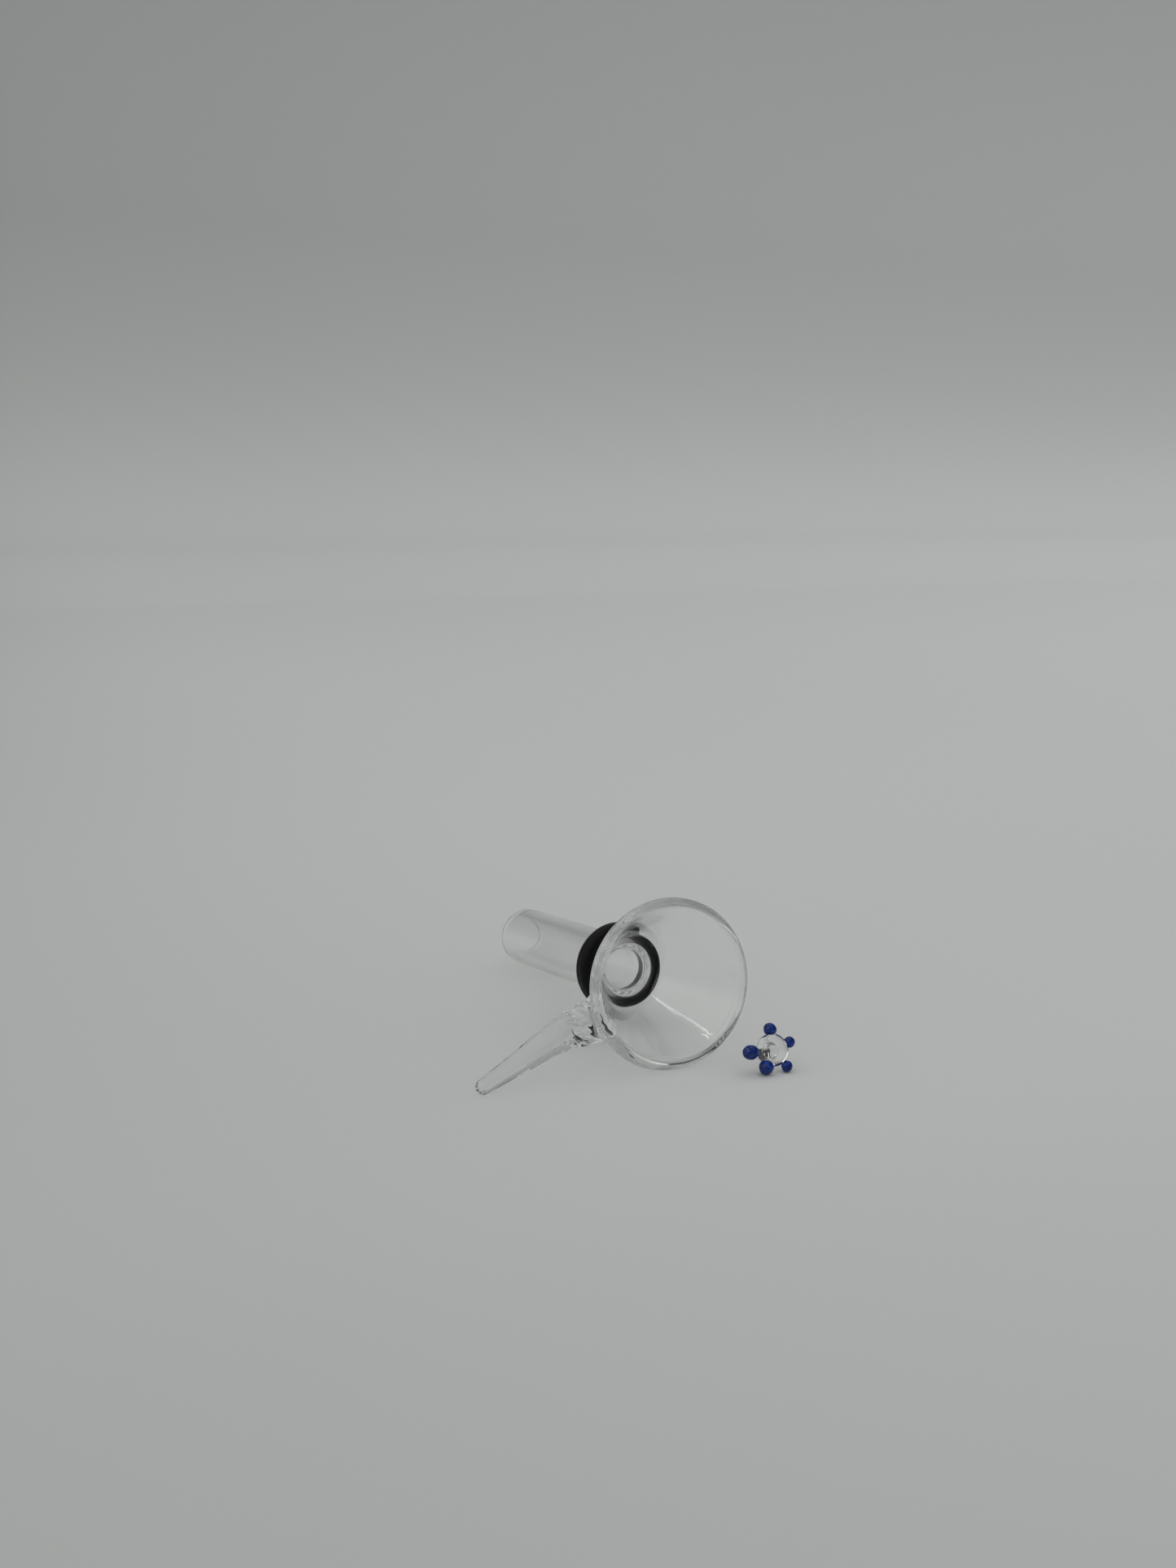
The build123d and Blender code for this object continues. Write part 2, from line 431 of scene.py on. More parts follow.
@dataclass
class Paint:
    """A material under construction, with its shader and the shared group's usual range."""

    name: str
    group: bpy.types.NodeTree
    usual: Pair = (0.34, 0.66)
    material: Finish = field(init=False)
    desk: Nodes = field(init=False)
    shader: Node = field(init=False)
    marks: Node = field(init=False)

    def __post_init__(self) -> None:
        """Make the material and place the group in it."""
        self.material = bpy.data.materials.new(self.name)
        self.material.use_nodes = True
        self.desk = Nodes(self.material.node_tree)
        self.shader = self.material.node_tree.nodes["Principled BSDF"]
        self.marks = self.desk.add("Group")
        self.marks.node_tree = self.group

    def set(self, **named: Source) -> None:
        """Feed the shader's sockets by name, with underscores for spaces."""
        self.desk.fill(self.shader, **named)

    def mark(self, source: str, limits: Pair = (0.0, 1.0)) -> Socket:
        """One of the group's marks, stretched from its usual range to two limits."""
        return self.desk.ranged(self.marks.outputs[source], self.usual, limits)

    def raised(self, source: str, strength: float, depth: float) -> Socket:
        """The surface's tilt where one of the group's marks raises it by up to a depth in metres."""
        made = self.desk.add("Bump", Strength=strength, Distance=depth, Height=self.marks.outputs[source])
        return made.outputs["Normal"]

    def painted_dark_edge(self, colour: Socket, tint: Colour, limits: Pair) -> Socket:
        """A colour darkened where the surface turns away: mostly a painted dark edge for the dark
        outlines glass shows there, and partly its longer way through the glass.
        """
        turned_away = self.desk.step(self.desk.add("LayerWeight").outputs["Facing"], *limits)
        return self.desk.mixed(turned_away, colour, tint)

    def open_to_light(self, share: float) -> None:
        """Let light that falls on matt surfaces pass straight through.

        Args:
            share: How much of that light passes.
        """
        path = self.desk.add("LightPath").outputs
        matt = self.desk.math("MAXIMUM", path["Is Diffuse Ray"], path["Is Shadow Ray"])
        clear = self.desk.add("BsdfTransparent").outputs[0]
        shader = self.shader.outputs[0]
        both = self.desk.add("MixShader", self.desk.math("MULTIPLY", matt, share), shader, clear)
        output = self.material.node_tree.nodes["Material Output"]
        self.desk.fill(output, Surface=both.outputs[0])


@dataclass(frozen=True)
class ClearGlass:
    """Fire-polished borosilicate: clear, faintly wavy, with painted shade at its edges where it turns
    away.
    """

    tint: Colour = (0.994, 0.999, 0.995, 1.0)
    thin_tint: Colour = (0.998, 1.0, 0.998, 1.0)
    refraction: float = 1.474
    haze: Pair = (0.0, 0.003)
    wave_tilt: float = 0.5
    wave_depth: float = 0.00001
    lets_light: float = 0.85
    # Painted shade: a dark edge where the surface turns away from the eye, for the glass's dark outlines.
    painted_edge_shade: Colour = (0.55, 0.56, 0.55, 1.0)
    painted_edge_from: Pair = (0.6, 0.95)

    def build(self, group: bpy.types.NodeTree) -> Finish:
        """Make the material.

        Args:
            group: The shared surface group.

        Returns:
            The material.
        """
        paint = Paint("fire_polished_glass", group)
        colour = paint.desk.mixed(paint.mark("Wave"), self.tint, self.thin_tint)
        paint.set(Transmission_Weight=1.0, IOR=self.refraction, Metallic=0.0)
        paint.set(Base_Color=paint.painted_dark_edge(colour, self.painted_edge_shade, self.painted_edge_from))
        paint.set(Roughness=paint.mark("Mottle", self.haze))
        paint.set(Normal=paint.raised("Wave", self.wave_tilt, self.wave_depth))
        paint.open_to_light(self.lets_light)
        return paint.material


@dataclass(frozen=True)
class BlueGlass:
    """Dense cobalt glass, mottled, with a polished skin."""

    deep: Colour = (0.0003, 0.0035, 0.06, 1.0)
    pale: Colour = (0.012, 0.055, 0.32, 1.0)
    sheen_level: float = 0.3
    refraction: float = 1.5
    gloss: Pair = (0.03, 0.14)
    through: float = 0.25
    mottle: float = 1900.0
    mottle_tilt: float = 0.15
    mottle_depth: float = 0.00005

    def build(self, group: bpy.types.NodeTree) -> Finish:
        """Make the material.

        Args:
            group: The shared surface group.

        Returns:
            The material.
        """
        paint = Paint("cobalt_glass", group)
        paint.desk.fill(paint.marks, Mottle_Scale=self.mottle)
        paint.set(Transmission_Weight=self.through, IOR=self.refraction, Metallic=0.0)
        paint.set(Specular_IOR_Level=self.sheen_level)
        paint.set(Base_Color=paint.desk.mixed(paint.mark("Mottle"), self.deep, self.pale))
        paint.set(Roughness=paint.mark("Wave", self.gloss))
        paint.set(Normal=paint.raised("Mottle", self.mottle_tilt, self.mottle_depth))
        return paint.material


@dataclass(frozen=True)
class BlackRubber:
    """Moulded rubber: near black, satin, with a fine tooth."""

    dark: Colour = (0.0012, 0.0012, 0.0014, 1.0)
    worn: Colour = (0.0035, 0.0035, 0.004, 1.0)
    sheen_level: float = 0.16
    refraction: float = 1.5
    satin: Pair = (0.42, 0.6)
    tooth: float = 2500.0
    tooth_tilt: float = 0.25
    tooth_depth: float = 0.00003

    def build(self, group: bpy.types.NodeTree) -> Finish:
        """Make the material.

        Args:
            group: The shared surface group.

        Returns:
            The material.
        """
        paint = Paint("moulded_rubber", group)
        paint.desk.fill(paint.marks, Mottle_Scale=self.tooth)
        paint.set(IOR=self.refraction, Metallic=0.0, Specular_IOR_Level=self.sheen_level)
        paint.set(Base_Color=paint.desk.mixed(paint.mark("Wave"), self.dark, self.worn))
        paint.set(Roughness=paint.mark("Mottle", self.satin))
        paint.set(Normal=paint.raised("Mottle", self.tooth_tilt, self.tooth_depth))
        return paint.material


@dataclass(frozen=True)
class Paper:
    """Matt pale paper whose colour carries painted light and shade: paler from the near edge to the
    middle and from left to right.
    """

    colour: Colour = (0.985, 1.0, 0.99, 1.0)
    roughness: float = 0.9
    sheen_level: float = 0.1
    # Painted light and shade: these grey stops stand in for how the light falls off over the sweep and
    # for the shade at the crease, not for the paper's own colour.
    painted_light_along: tuple[Pair, ...] = (
        (-0.3, 0.6205), (-0.1, 0.7957), (0.0, 0.7911), (0.1, 0.8014), (0.2, 0.813),
        (0.35, 0.8113), (0.6, 0.8242), (0.9, 0.8111), (1.15, 0.8278), (1.35, 0.8435),
        (1.6, 0.8266), (1.9, 0.7041), (2.2, 0.5708), (2.45, 0.6056), (2.8, 0.5094),
    )
    painted_light_across: tuple[Pair, ...] = (
        (-0.25, 0.5672), (-0.08, 0.6847), (0.05, 0.7547), (0.2, 0.7601), (0.5, 0.7914),
        (1.0, 0.8304), (1.8, 0.8466),
    )

    def build(self) -> Finish:
        """Make the material.

        Returns:
            The material, whose stops are in metres from the table's middle.
        """
        material = bpy.data.materials.new("paper")
        material.use_nodes = True
        desk = Nodes(material.node_tree)
        parts = desk.add("SeparateXYZ", desk.add("TexCoord").outputs["Object"]).outputs
        # The painted light and shade along the sweep, multiplied by the painted light and shade across
        # it.
        along = desk.shades(desk.math("ADD", parts["Y"], parts["Z"]), self.painted_light_along)
        across = desk.shades(parts["X"], self.painted_light_across)
        shade = desk.mixed(1.0, along, across, "MULTIPLY")
        shader = material.node_tree.nodes["Principled BSDF"]
        desk.fill(shader, Base_Color=desk.mixed(1.0, shade, self.colour, "MULTIPLY"))
        desk.fill(shader, Roughness=self.roughness, Specular_IOR_Level=self.sheen_level)
        return material


def place(piece: Piece, body: Body, slot: Slot, finishes: Finishes, *nodes: str) -> None:
    """Finish a piece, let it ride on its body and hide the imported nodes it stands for.

    Args:
        piece: What is put in its place.
        body: The moving body that carries it.
        slot: The record's slot for its finish.
        finishes: The material of each slot.
        nodes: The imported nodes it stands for.
    """
    piece.data.materials.clear()
    piece.data.materials.append(finishes[slot])
    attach(piece, body.value)
    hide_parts(*nodes)
    log.info("%s: %d faces, rides on %s", piece.name, len(piece.data.polygons), body.value)


# ---------------- the glass slide


@dataclass(frozen=True)
class Crease:
    """A short groove across the handle, where the hot glass was bent."""

    along: float
    angle: float
    width: float
    spread: float
    depth: float

    def sunk(self, travelled: float, angle: float) -> float:
        """Its depth at a distance along the handle and an angle round it."""
        off = ((degrees(angle) - self.angle + 180) % 360 - 180) / self.spread
        return self.depth * exp(-(off**2) - ((travelled - self.along) / self.width) ** 2)


@dataclass
class GlassSlide:
    """Funnel, stem and handle: one piece of glass with one skin."""

    # The cone, its lip and the stem.
    mouth_diameter: float = 31.4
    funnel_depth: float = 21.0
    cone_wall: float = 1.9
    lip_thickness: float = 2.1
    lip_blend: float = 2.0
    lip_steps: int = 28
    overall_length: float = 74.0
    stem_diameter: float = 12.0
    stem_wall: float = 2.0
    stem_end_round: float = 0.9
    throat_blend: float = 1.2
    neck_blend: float = 3.0
    seat_swell: float = 0.16
    seat_end: float = 25.688
    seat_taper: float = 1.2

    # The handle, from its weld through the knee to the tip.
    handle_seat: float = 4.0
    pad_height: float = 4.6
    pad_width: float = 8.6
    pad_depth: float = 6.9
    pad_steps: int = 36
    weld_round: float = 1.1
    weld_flare: float = 0.6
    weld_depth: float = 0.8
    weld_settles: float = 2.6
    knee_diameter: float = 6.9
    knee_pull: float = 0.45
    horn_reach: float = 20.0
    horn_sweep: float = 3.0
    horn_bow: float = 0.5
    bow_place: float = 0.15
    horn_widths: tuple[Pair, ...] = ((0.2, 6.0), (0.45, 5.1), (0.7, 3.9), (0.9, 3.15))
    horn_steps: int = 80
    tip_diameter: float = 2.9
    tip_steps: int = 10
    line_passes: int = 14
    handle_segments: int = 160

    # The folds, creases and ripple left by bending the hot handle.
    worked_at: float = 4.8
    worked_over: float = 2.9
    worked_depth: float = 0.72
    worked_scale: float = 1.3
    worked_stretch: float = 0.5
    worked_twist: float = 0.22
    horn_ripple: Pair = (0.03, 6.0)
    creases: tuple[Crease, ...] = (
        Crease(along=5.6, angle=250.0, width=0.30, spread=38.0, depth=0.26),
        Crease(along=7.1, angle=262.0, width=0.30, spread=34.0, depth=0.24),
    )

    # The hand-made unevenness of the cone: depth and size, and the stations where it fades.
    segments: int = 320
    step: float = 0.9
    wobble: Pair = (0.025, 7.0)
    wobble_until: Pair = (14.0, 22.0)
    bore_shift: Pair = (0.08, -0.36)
    shift_until: Pair = (3.0, 14.0)
    wrinkle_pitch: float = 0.105
    wrinkle_spread: float = 0.2
    wrinkle_depth: float = 0.09

    def __post_init__(self) -> None:
        """Work out the cone's slope, the axis, and where the handle's weld, knee and tip are."""
        self.axis = funnel_axis()
        self.wobbled = self.axis.ripple(*self.wobble)
        self.lip_centre = (self.mouth_diameter / 2 - self.lip_thickness / 2, self.lip_thickness / 2)
        self.bore = self.stem_diameter / 2 - self.stem_wall
        inward = self.lip_centre[0] - self.bore
        depth = self.funnel_depth - self.lip_centre[1]
        self.slope = atan2(inward, depth) - asin(self.cone_wall / 2 / hypot(inward, depth))
        self.normal = Vector((cos(self.slope), sin(self.slope)))
        self.weld = Vector((self.cone_outside(self.handle_seat), self.handle_seat))
        self.knee = self.weld + self.normal * self.pad_height
        self.tip = self.knee + Vector((self.horn_reach, -self.horn_sweep))
        sine = -self.axis.along.z
        level = self.axis.origin.z - self.tip.y * sine
        reach = self.tip.x * sqrt(1 - sine * sine)
        self.turn = pi - asin((level - self.tip_diameter / 2) / reach)
        self.spoke = self.axis.across * cos(self.turn) + self.axis.down * sin(self.turn)

    def cone_middle(self, station: float) -> float:
        """Radius of the middle of the cone's wall at a station."""
        return self.lip_centre[0] - (station - self.lip_centre[1]) * tan(self.slope)

    def cone_outside(self, station: float) -> float:
        """Radius of the cone's outside at a station."""
        return self.cone_middle(station) + self.cone_wall / 2 / cos(self.slope)

    def on_wall(self, along: float, out: float) -> Pair:
        """A point given along the cone's wall from the lip's centre, and outwards from it."""
        x, y, sine, cosine = *self.lip_centre, sin(self.slope), cos(self.slope)
        return x - sine * along + cosine * out, y + cosine * along + sine * out

    def lip(self) -> list[Pair]:
        """The lip's bead and its two blends.

        Returns:
            Radius and station of each point, from the cone's outside round to its inside.
        """
        bead, half, blend = self.lip_thickness / 2, self.cone_wall / 2, self.lip_blend
        reach = sqrt((bead + blend) ** 2 - (half + blend) ** 2)
        turn = atan2(half + blend, reach)
        outer = arc((reach, half + blend), blend, 1.5 * pi, pi + turn)
        front = arc((0, 0), bead, turn, tau - turn, self.lip_steps)
        inner = [(along, -out) for along, out in reversed(outer)]
        return [self.on_wall(along, out) for along, out in outer + front[1:-1] + inner]

    def outline(self) -> list[Pair]:
        """The whole wall's section.

        Returns:
            Radius and station of each point, from the throat round to the bore.
        """
        outside = self.stem_diameter / 2
        seat = outside + self.seat_swell
        lip_outside = self.cone_outside(self.lip_centre[1])
        neck = (seat, self.lip_centre[1] + (lip_outside - seat) / tan(self.slope))
        seat_foot = (seat, self.seat_end)
        stem_top = (outside, self.seat_end + self.seat_taper)
        stem_end = (outside, self.overall_length)
        bore_end = (self.bore, self.overall_length)
        throat = (self.bore, self.funnel_depth)
        lip = self.lip()
        corners = [
            *rounded_corner(bore_end, throat, lip[-1], self.throat_blend)[::-1],
            *lip[::-1],
            *rounded_corner(lip[0], neck, seat_foot, self.neck_blend),
            seat_foot,
            stem_top,
            *rounded_corner(stem_top, stem_end, bore_end, self.stem_end_round),
            *rounded_corner(stem_end, bore_end, throat, self.stem_end_round),
        ]
        return spread(corners, self.step, looped=True)

    def uneven(self, radius: float, angle: float, station: float) -> float:
        """The hand-worked cone's error: a ripple, wrinkles at the weld, and a mouth opened off centre.

        Args:
            radius: Distance from the axis.
            angle: Angle round the axis.
            station: Distance behind the mouth.

        Returns:
            How far the skin lies outside its true radius.
        """
        inwards = 0.5 + (self.cone_middle(station) - radius) * cos(self.slope) / self.lip_thickness
        sideways = self.bore_shift[0] * cos(angle) + self.bore_shift[1] * sin(angle)
        from_weld = (angle - self.turn + pi) % tau - pi
        wrinkle = self.wrinkle_depth * sin(tau * from_weld / self.wrinkle_pitch)
        wrinkle *= exp(-((from_weld / self.wrinkle_spread) ** 2))
        shift = sideways * min(1.0, max(0.0, inwards)) + wrinkle
        ripple = self.wobbled(radius, angle, station) * faded(station, *self.wobble_until)
        return ripple + shift * faded(station, *self.shift_until)

    def handle_line(self) -> list[tuple[Vector, float, float]]:
        """The handle's middle line, straight out through the pad and curved along the horn.

        Returns:
            Each point as (distance from the axis, station), with a width and a depth.
        """
        line = []
        total = self.weld_depth + self.pad_height
        for step in range(self.pad_steps):
            height = -self.weld_depth + total * step / self.pad_steps
            share = max(0.0, height / self.pad_height)
            rest = max(0.0, self.weld_round - max(0.0, height))
            flare = 2 * (self.weld_round - sqrt(self.weld_round**2 - rest**2))
            width = self.pad_width + (self.knee_diameter - self.pad_width) * share
            depth = self.pad_depth + (self.knee_diameter - self.pad_depth) * share
            spot = self.weld + self.normal * height
            line.append((spot, width + flare, depth + flare * self.weld_flare))
        run = self.tip - self.knee
        first = self.normal * run.length * self.knee_pull
        bow = self.knee + run * self.bow_place + Vector((0, self.horn_bow))
        last = (self.tip - bow).normalized() * run.length
        widths = [(0.0, self.knee_diameter), *self.horn_widths, (1.0, self.tip_diameter)]
        for step in range(self.horn_steps + 1):
            t = step / self.horn_steps
            spot = (
                self.knee * (2 * t**3 - 3 * t**2 + 1)
                + first * (t**3 - 2 * t**2 + t)
                + self.tip * (3 * t**2 - 2 * t**3)
                + last * (t**3 - t**2)
            )
            width = interpolated(widths, t)
            line.append((spot, width, width))
        for _ in range(self.line_passes):
            inner = [
                tuple(before[k] / 4 + here[k] / 2 + after[k] / 4 for k in range(3))
                for before, here, after in zip(line, line[1:], line[2:])
            ]
            line = [line[0], *inner, line[-1]]
        return line

    def hand_work(self, travelled: float, angle: float, point: Vector) -> float:
        """How far the handle's skin is sunk at a point by creases and uneven heat.

        Args:
            travelled: Distance along the handle from its root.
            angle: Angle round the handle, from its mouth side.
            point: The exact point.

        Returns:
            The depth, negative where the skin stands proud.
        """
        near_knee = exp(-(((travelled - self.worked_at) / self.worked_over) ** 2))
        round_it = angle + self.worked_twist * travelled
        folds = Vector((cos(round_it), sin(round_it), 0.0)) * self.knee_diameter / 2
        folds.z = travelled * self.worked_stretch
        sunk = sum(crease.sunk(travelled, angle) for crease in self.creases)
        sunk += self.worked_depth * near_knee * noise.noise(folds / self.worked_scale)
        return sunk + self.horn_ripple[0] * noise.noise(point / self.horn_ripple[1])

    def handle(self) -> Piece:
        """The pad and the horn as one closed skin whose root lies inside the cone's wall.

        Returns:
            The handle, which droops at its sides to follow the cone.
        """
        side = self.axis.along.cross(self.spoke)
        out = self.spoke * cos(self.slope) + self.axis.along * sin(self.slope)
        line = self.handle_line()
        rings = []
        travelled = 0.0
        for index, (spot, width, depth) in enumerate(line):
            if index:
                travelled += (spot - line[index - 1][0]).length
            ahead = line[min(index + 1, len(line) - 1)][0] - line[max(index - 1, 0)][0]
            ahead.normalize()
            centre = self.axis.origin + self.spoke * spot.x + self.axis.along * spot.y
            front = self.spoke * -ahead.y + self.axis.along * ahead.x
            settled = faded(travelled, self.weld_depth, self.weld_depth + self.weld_settles)
            ring = []
            for step in range(self.handle_segments):
                angle = tau * step / self.handle_segments
                off = sin(angle) * width / 2
                radial = front * cos(angle) * depth / 2 + side * sin(angle) * width / 2
                sunk = self.hand_work(travelled, angle, centre + radial)
                fall = off * off / (2 * self.weld.x) * settled
                ring.append(centre + radial * (1 - 2 * sunk / width) - out * fall)
            rings.append(ring)
        rings.extend(self.round_tip(rings[-1], line[-1][0] - line[-2][0]))
        return skin("handle", rings, looped=False)

    def round_tip(self, ring: Sequence[Vector], run: Vector) -> list[list[Vector]]:
        """Shrinking rings that close the horn with a half ball.

        Args:
            ring: The horn's last ring.
            run: The middle line's last step.

        Returns:
            The rings, up to the one next to the pole.
        """
        centre = sum(ring, Vector()) / len(ring)
        ahead = (self.spoke * run.x + self.axis.along * run.y).normalized()
        rings = []
        for step in range(1, self.tip_steps):
            angle = pi / 2 * step / self.tip_steps
            push = ahead * (self.tip_diameter / 2 * sin(angle))
            rings.append([centre + (point - centre) * cos(angle) + push for point in ring])
        return rings

    def build(self) -> list[Piece]:
        """Turn the funnel and stem, and melt the handle onto them."""
        rings = self.axis.turned(self.outline(), self.segments, self.uneven)
        return [united(skin("glass_slide", rings, looped=True), self.handle())]

    def dress(self, pieces: Sequence[Piece], finishes: Finishes) -> None:
        """Finish the glass and let it ride on the slide's body."""
        nodes = ("funnel_cone", "neck_seal", "stem_tube", "handle_pad", "handle_horn")
        place(pieces[0], Body.SLIDE, Slot.CLEAR, finishes, *nodes)


# ---------------- the grommet


@dataclass
class Grommet:
    """The moulded rubber ring on the stem: a rounded shoulder in front, tapering behind."""

    front: float = 21.238
    bore: float = 6.2
    length: float = 3.95
    shoulder_wall: float = 2.5
    shoulder_width: float = 3.0
    shoulder_round: float = 1.25
    rear_wall: float = 1.6
    rear_round: float = 0.4
    bore_round: float = 0.15
    parting_height: float = 0.05
    segments: int = 160
    step: float = 0.6
    ripple: Pair = (0.04, 5.0)

    def outline(self) -> list[Pair]:
        """The ring's section.

        Returns:
            Radius and station of each point.
        """
        shoulder = self.bore + self.shoulder_wall
        parting = (self.shoulder_round + self.shoulder_width) / 2
        sharp = [
            ((self.bore, 0.0), self.bore_round),
            ((shoulder, 0.0), self.shoulder_round),
            ((shoulder, parting - self.parting_height), 0.0),
            ((shoulder + self.parting_height, parting), 0.0),
            ((shoulder, parting + self.parting_height), 0.0),
            ((shoulder, self.shoulder_width), self.rear_round),
            ((self.bore + self.rear_wall, self.length), self.rear_round),
            ((self.bore, self.length), self.bore_round),
        ]
        points: list[Pair] = []
        for index, (corner, radius) in enumerate(sharp):
            if radius:
                before, after = sharp[index - 1][0], sharp[(index + 1) % len(sharp)][0]
                points.extend(rounded_corner(before, corner, after, radius))
            else:
                points.append(corner)
        return spread([(r, s + self.front) for r, s in points], self.step, looped=True)

    def build(self) -> list[Piece]:
        """Turn the ring, a little out of round."""
        rings = funnel_axis().turned(self.outline(), self.segments, funnel_axis().ripple(*self.ripple))
        return [skin("grommet_ring", rings, looped=True)]

    def dress(self, pieces: Sequence[Piece], finishes: Finishes) -> None:
        """Finish the ring and let it ride on its own body."""
        place(pieces[0], Body.GROMMET, Slot.RUBBER, finishes, "grommet")


# ---------------- the flower screen


@dataclass(frozen=True)
class Dot:
    """One blue gather: its angle clockwise from the top, its size, and how deep it sits in the hub."""

    angle: float
    width: float
    length: float
    sink: float


@dataclass
class FlowerScreen:
    """The loose screen: a clear hub with a peg behind it and blue dots round it."""

    hub_diameter: float = 6.0
    hub_thickness: float = 3.2
    hub_turn: float = -10.0
    hub_steps: int = 40
    hub_segments: int = 96
    hub_ripple: Pair = (0.05, 2.0)
    peg_diameter: float = 2.3
    peg_length: float = 6.4
    peg_round: float = 0.15
    peg_root: float = 0.1
    peg_steps: int = 12
    step: float = 0.5
    dots: tuple[Dot, ...] = (
        Dot(3.0, 2.44, 2.44, 0.50),
        Dot(74.0, 2.04, 2.04, 0.20),
        Dot(143.0, 2.12, 2.12, 0.12),
        Dot(211.0, 2.76, 2.76, 1.00),
        Dot(271.0, 2.68, 3.10, 0.20),
    )
    dot_steps: int = 28
    dot_segments: int = 56
    dot_waist: Pair = (0.10, 0.22)
    dot_ripple: Pair = (0.12, 1.3)

    def __post_init__(self) -> None:
        """Find where the screen stands, from its face to its peg's end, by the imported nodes."""
        peg = self.peg_diameter / 2
        low, high = (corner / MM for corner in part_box("screen_peg"))
        end = Vector(((low.x + high.x) / 2, high.y - peg, low.z + peg))
        along = (end - middle("screen_hub")).normalized()
        origin = end - along * (self.hub_thickness / 2 + self.peg_length - peg)
        top = middle("screen_bead_1") - origin
        top -= along * top.dot(along)
        flat = Vector((1, 0, 0))
        level = along.cross(flat)
        roll = atan2(top.dot(level), top.dot(flat)) - radians(self.dots[0].angle - 90)
        across = flat * cos(roll) + level * sin(roll)
        self.axis = Axis(origin, across, along.cross(across), along)

    def hub(self) -> Piece:
        """The clear lens-shaped body with its peg.

        Returns:
            One skin, from the face to the peg's round end.
        """
        radius, half, peg = self.hub_diameter / 2, self.hub_thickness / 2, self.peg_diameter / 2
        end = half + self.peg_length - peg
        meeting = pi - asin(peg / radius)
        angles = [pi * step / self.hub_steps for step in range(1, self.hub_steps)]
        lens = [(radius * sin(a), -half * cos(a)) for a in angles if a <= meeting]
        foot = lens[-1]
        neck = rounded_corner(foot, (peg, foot[1] + self.peg_root), (peg, end), self.peg_round)
        cap = arc((0, end), peg, 0, pi / 2, self.peg_steps)[:-1]
        outline = spread([*lens, *neck, *cap], self.step, looped=False)
        turn = Matrix.Rotation(radians(self.hub_turn), 3, "Z")
        directions = (turn @ way for way in (self.axis.across, self.axis.down, self.axis.along))
        own = Axis(self.axis.origin, *directions)
        rings = own.turned(outline, self.hub_segments, own.ripple(*self.hub_ripple))
        return skin("flower_glass", rings, looped=False)

    def dot(self, number: int, dot: Dot) -> Piece:
        """One blue gather, a slightly uneven drop pressed into the hub's rim.

        Args:
            number: Its place in the row of dots, from 1.
            dot: Its sizes.

        Returns:
            The drop.
        """
        reach = self.hub_diameter / 2 + dot.length / 2 - dot.sink
        turn = radians(dot.angle - 90)
        outward = self.axis.across * cos(turn) + self.axis.down * sin(turn)
        sideways = self.axis.along.cross(outward)
        own = Axis(self.axis.origin + outward * reach, self.axis.along, sideways, outward)
        pinch, over = self.dot_waist
        outline = []
        for step in range(1, self.dot_steps):
            angle = pi * step / self.dot_steps
            waist = 1 - pinch * exp(-((angle / pi / over) ** 2))
            outline.append((dot.width / 2 * sin(angle) * waist, -dot.length / 2 * cos(angle)))
        rings = own.turned(outline, self.dot_segments, own.ripple(*self.dot_ripple))
        return skin(f"flower_dot_{number}", rings, looped=False)

    def build(self) -> list[Piece]:
        """The clear piece, and then the blue ones."""
        return [self.hub(), *(self.dot(number, dot) for number, dot in enumerate(self.dots, start=1))]

    def dress(self, pieces: Sequence[Piece], finishes: Finishes) -> None:
        """Finish the clear piece and the blue ones, and let them ride on the screen's body.

        Args:
            pieces: The clear piece, and then the blue ones.
            finishes: The material of each slot.
        """
        place(pieces[0], Body.FLOWER, Slot.CLEAR, finishes, "screen_hub", "screen_peg")
        for number, dot in enumerate(pieces[1:], start=1):
            place(dot, Body.FLOWER, Slot.BLUE, finishes, f"screen_bead_{number}")


# ---------------- the studio


@dataclass(frozen=True)
class Viewpoint:
    """Where the camera stands, in millimetres, how it looks, and how far it sees, in metres."""

    from_mouth: Pair = (-124.88, -252.68)
    height: float = 104.70
    heading: float = 23.209
    dip: float = 10.502
    lens: float = 37.36
    sensor: float = 36.0
    sees: Pair = (0.01, 20.0)

    def build(self) -> None:
        """Make the camera, placed from the funnel's mouth."""
        data = bpy.data.cameras.new("camera")
        data.lens = self.lens
        data.sensor_width = self.sensor
        data.clip_start, data.clip_end = self.sees
        mouth = funnel_axis().origin
        stand = Vector((mouth.x + self.from_mouth[0], mouth.y + self.from_mouth[1], self.height))
        camera = linked("camera", data)
        camera.location = stand * MM
        camera.rotation_euler = (radians(90 - self.dip), 0.0, radians(-self.heading))
        bpy.context.scene.camera = camera


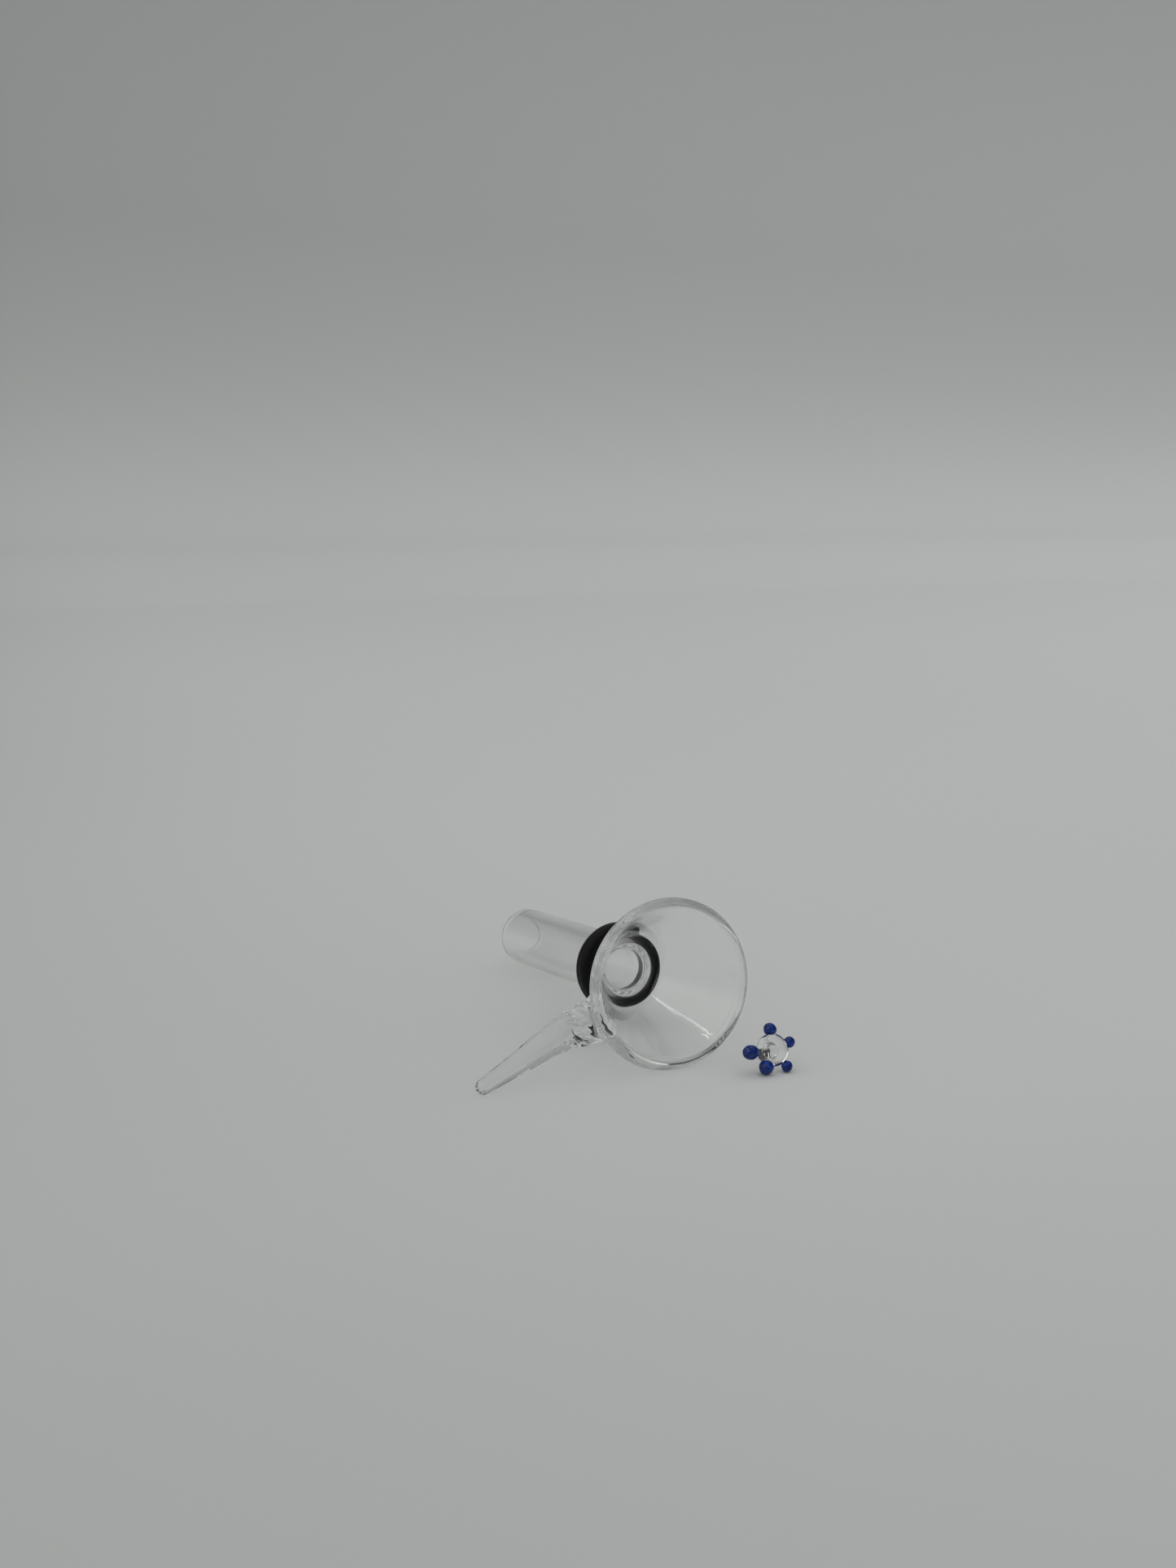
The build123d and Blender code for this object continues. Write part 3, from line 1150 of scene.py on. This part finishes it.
@dataclass
class Studio:
    """A pale sweep, soft light from above, and what the glass mirrors. Lengths in metres."""

    # The sweep's section.
    half_width: float = 3.0
    front: float = -2.5
    crease: float = 1.15
    ramp_length: float = 0.4
    ramp_angle: float = 5.0
    bend_radius: float = 0.4
    bend_steps: int = 32
    top: float = 2.2

    # The world's light, and the room in the glass. Pairs are steps over a direction's parts.
    sky: Colour = (0.99, 1.0, 0.995, 1.0)
    sky_strength: float = 0.78
    horizon: Pair = (0.02, 0.1)
    window_strength: float = 0.35
    window_from: Pair = (0.45, 0.13)
    window_size: Pair = (0.30, 0.22)
    window_edge: float = 0.25
    edge_inside: float = 0.2
    mirrored: Colour = (0.42, 0.43, 0.425, 1.0)
    mirrored_dark: Colour = (0.045, 0.045, 0.045, 1.0)
    mirrored_window: Colour = (0.95, 0.95, 0.93, 1.0)
    mirrored_edge: float = 0.05
    mirrored_side: Colour = (1.0, 1.0, 0.98, 1.0)
    side_above: Pair = (0.02, 0.4)
    side_beyond: Pair = (-0.22, -0.45)
    dark_right: Pair = (0.25, 0.5)
    dark_front: Pair = (-0.35, -0.65)
    dark_below: Pair = (0.6, 0.45)
    no_matt_bounce: float = 0.5

    # The row of small lights.
    row_first: Spot = (-0.118, 0.086, 0.305)
    row_last: Spot = (-0.120, 0.118, 0.305)
    row_count: int = 13
    row_light: Pair = (0.02, 0.0009)
    row_energy: float = 0.0013

    def sweep(self) -> None:
        """Floor and backdrop as one sheet."""
        tilt = radians(self.ramp_angle)
        foot = (self.crease + self.ramp_length * cos(tilt), self.ramp_length * sin(tilt))
        centre = (foot[0] - self.bend_radius * sin(tilt), foot[1] + self.bend_radius * cos(tilt))
        curve = arc(centre, self.bend_radius, tilt - pi / 2, 0.0, self.bend_steps)
        back = (centre[0] + self.bend_radius, self.top)
        section = [(self.front, 0.0), (self.crease, 0.0), *curve, back]
        points = [(x, y, z) for y, z in section for x in (-self.half_width, self.half_width)]
        faces = [(2 * i, 2 * i + 1, 2 * i + 3, 2 * i + 2) for i in range(len(section) - 1)]
        mesh = bpy.data.meshes.new("sweep")
        mesh.from_pydata(points, [], faces)
        mesh.polygons.foreach_set("use_smooth", [False] + [True] * (len(faces) - 1))
        mesh.materials.append(Paper().build())
        linked("sweep", mesh)

    def window(self, desk: Nodes, parts: Node, edge: float) -> Socket:
        """Where the soft window overhead shows.

        Args:
            desk: The world's nodes.
            parts: The split direction.
            edge: How soft the window's edge is, as a share of its height above the table.

        Returns:
            A mask, 1 inside the window.
        """
        up = parts.outputs["Z"]
        mask = desk.step(up, *self.horizon)
        for axis, centre, half in zip("XY", self.window_from, self.window_size):
            off = desk.math("DIVIDE", parts.outputs[axis], desk.math("MAXIMUM", up, self.horizon[0]))
            off = desk.math("ABSOLUTE", desk.math("SUBTRACT", off, centre), 0.0)
            shown = desk.step(off, half + edge, half - edge * self.edge_inside)
            mask = desk.math("MULTIPLY", mask, shown)
        return mask

    def mirrored_room(self, desk: Nodes, parts: Node) -> Socket:
        """What the glass mirrors: a pale room with a bright left side, a dark right and a window.

        Args:
            desk: The world's nodes.
            parts: The split direction.

        Returns:
            The room's colour.
        """
        x, y, z = parts.outputs
        dark = desk.math("MULTIPLY", desk.step(y, *self.dark_front), desk.step(z, *self.dark_below))
        dark = desk.math("MAXIMUM", dark, desk.step(x, *self.dark_right))
        side = desk.math("MULTIPLY", desk.step(x, *self.side_beyond), desk.step(z, *self.side_above))
        tone = desk.mixed(side, self.mirrored, self.mirrored_side)
        tone = desk.mixed(dark, tone, self.mirrored_dark)
        return desk.mixed(self.window(desk, parts, self.mirrored_edge), tone, self.mirrored_window)

    def tent(self) -> None:
        """The world: even light and a soft window for matt surfaces, and what glass mirrors."""
        world = bpy.data.worlds.new("tent")
        bpy.context.scene.world = world
        world.use_nodes = True
        desk = Nodes(world.node_tree)
        parts = desk.add("SeparateXYZ", desk.add("TexCoord").outputs["Generated"])
        glow = desk.math("MULTIPLY", self.window(desk, parts, self.window_edge), self.window_strength)
        light = world.node_tree.nodes["Background"]
        desk.fill(light, Color=self.sky, Strength=desk.math("ADD", glow, self.sky_strength))
        path = desk.add("LightPath").outputs
        room = self.mirrored_room(desk, parts)
        seen = desk.add("Background", desk.mixed(path["Is Camera Ray"], room, self.mirrored))
        mirror = desk.math("MAXIMUM", path["Is Camera Ray"], path["Is Glossy Ray"])
        mirror = desk.math("MAXIMUM", mirror, path["Is Transmission Ray"])
        direct = desk.math("LESS_THAN", path["Diffuse Depth"], self.no_matt_bounce)
        share = desk.math("MULTIPLY", mirror, direct)
        both = desk.add("MixShader", share, light.outputs[0], seen.outputs[0])
        desk.fill(world.node_tree.nodes["World Output"], Surface=both.outputs[0])

    def small_lights(self) -> None:
        """A row of small lights, which the cone mirrors as a dotted line."""
        first, last = Vector(self.row_first), Vector(self.row_last)
        ahead = first.normalized()
        across = ahead.cross((last - first).normalized()).normalized()
        turn = Matrix((across, ahead.cross(across), ahead)).transposed().to_euler()
        for number in range(self.row_count):
            data = bpy.data.lights.new(f"small_light_{number}", "AREA")
            data.shape = "RECTANGLE"
            data.size, data.size_y = self.row_light
            data.energy = self.row_energy
            lamp = linked(data.name, data)
            lamp.location = first.lerp(last, number / (self.row_count - 1))
            lamp.rotation_euler = turn

    def build(self) -> None:
        """Set up the floor, the world and the lamps, and the plain view settings."""
        bpy.context.scene.view_settings.view_transform = "Standard"
        self.sweep()
        self.tent()
        self.small_lights()


# ---------------- putting it together


def corners(box: tuple[Vector, Vector]) -> list[list[float]]:
    """A box's two corners as plain lists."""
    return [list(corner) for corner in box]


def main() -> None:
    """Build the camera, the studio and every piece."""
    logging.basicConfig(level=logging.INFO)
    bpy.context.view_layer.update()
    cycles = bpy.context.scene.cycles
    cycles.max_bounces = cycles.transmission_bounces = cycles.glossy_bounces = LIGHT_BOUNCES
    Viewpoint().build()
    Studio().build()
    surface = hand_made_surface()
    kinds = {Slot.CLEAR: ClearGlass(), Slot.BLUE: BlueGlass(), Slot.RUBBER: BlackRubber()}
    finishes = {slot: kind.build(surface) for slot, kind in kinds.items()}
    for part in (GlassSlide(), Grommet(), FlowerScreen()):
        part.dress(part.build(), finishes)


if __name__ == "__main__":
    main()
